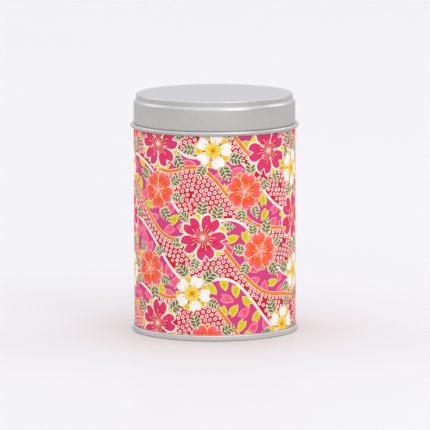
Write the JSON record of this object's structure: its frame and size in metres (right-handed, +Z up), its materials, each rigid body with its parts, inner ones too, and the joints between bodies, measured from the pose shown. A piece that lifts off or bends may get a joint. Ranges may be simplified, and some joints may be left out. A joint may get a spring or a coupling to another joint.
{
  "type": "tea caddy",
  "caption": "Round metal tea caddy wrapped in printed washi paper, with a slip-on stepped outer lid and a dished inner lid with a knob.",
  "frame": {"origin": "centre of the base, on the plane that the bottom seam rests on", "axes": "+Z up along the caddy's own axis, from the base to the lid; -Y is the front, and the paper's lap is at the back, at +Y"},
  "size_m": [0.0782, 0.0782, 0.1105],
  "materials": {
    "satin_tin": "satin tinplate, faint brushing, warm grey",
    "bright_tin": "plain tinplate as rolled, softly bright",
    "washi": "matte washi paper with a screen-printed pattern of blossoms, leaves and dappled streams",
    "compound": "matte sealing compound",
    "turned_metal": "turned and polished"
  },
  "bodies": {
    "canister": {"body_shell": "bright_tin", "bottom_end": "satin_tin", "seam_compound": "compound", "paper_wrap": "washi", "neck_ring": "satin_tin"},
    "outer_lid": {"outer_lid": "satin_tin"},
    "inner_lid": {"inner_lid": "satin_tin", "inner_lid_knob": "turned_metal", "knob_washer": "bright_tin", "knob_rivet": "bright_tin"}
  },
  "joints": [
    {"name": "outer_lid_lift", "type": "slide", "parent": "canister", "child": "outer_lid", "axis": [0, 0, 1], "range_m": [0, 0.06]},
    {"name": "inner_lid_lift", "type": "slide", "parent": "canister", "child": "inner_lid", "axis": [0, 0, 1], "range_m": [0, 0.03]}
  ],
  "couplings": [
    {"joint": "inner_lid_lift", "follows": "outer_lid_lift", "ratio": 0.5}
  ]
}
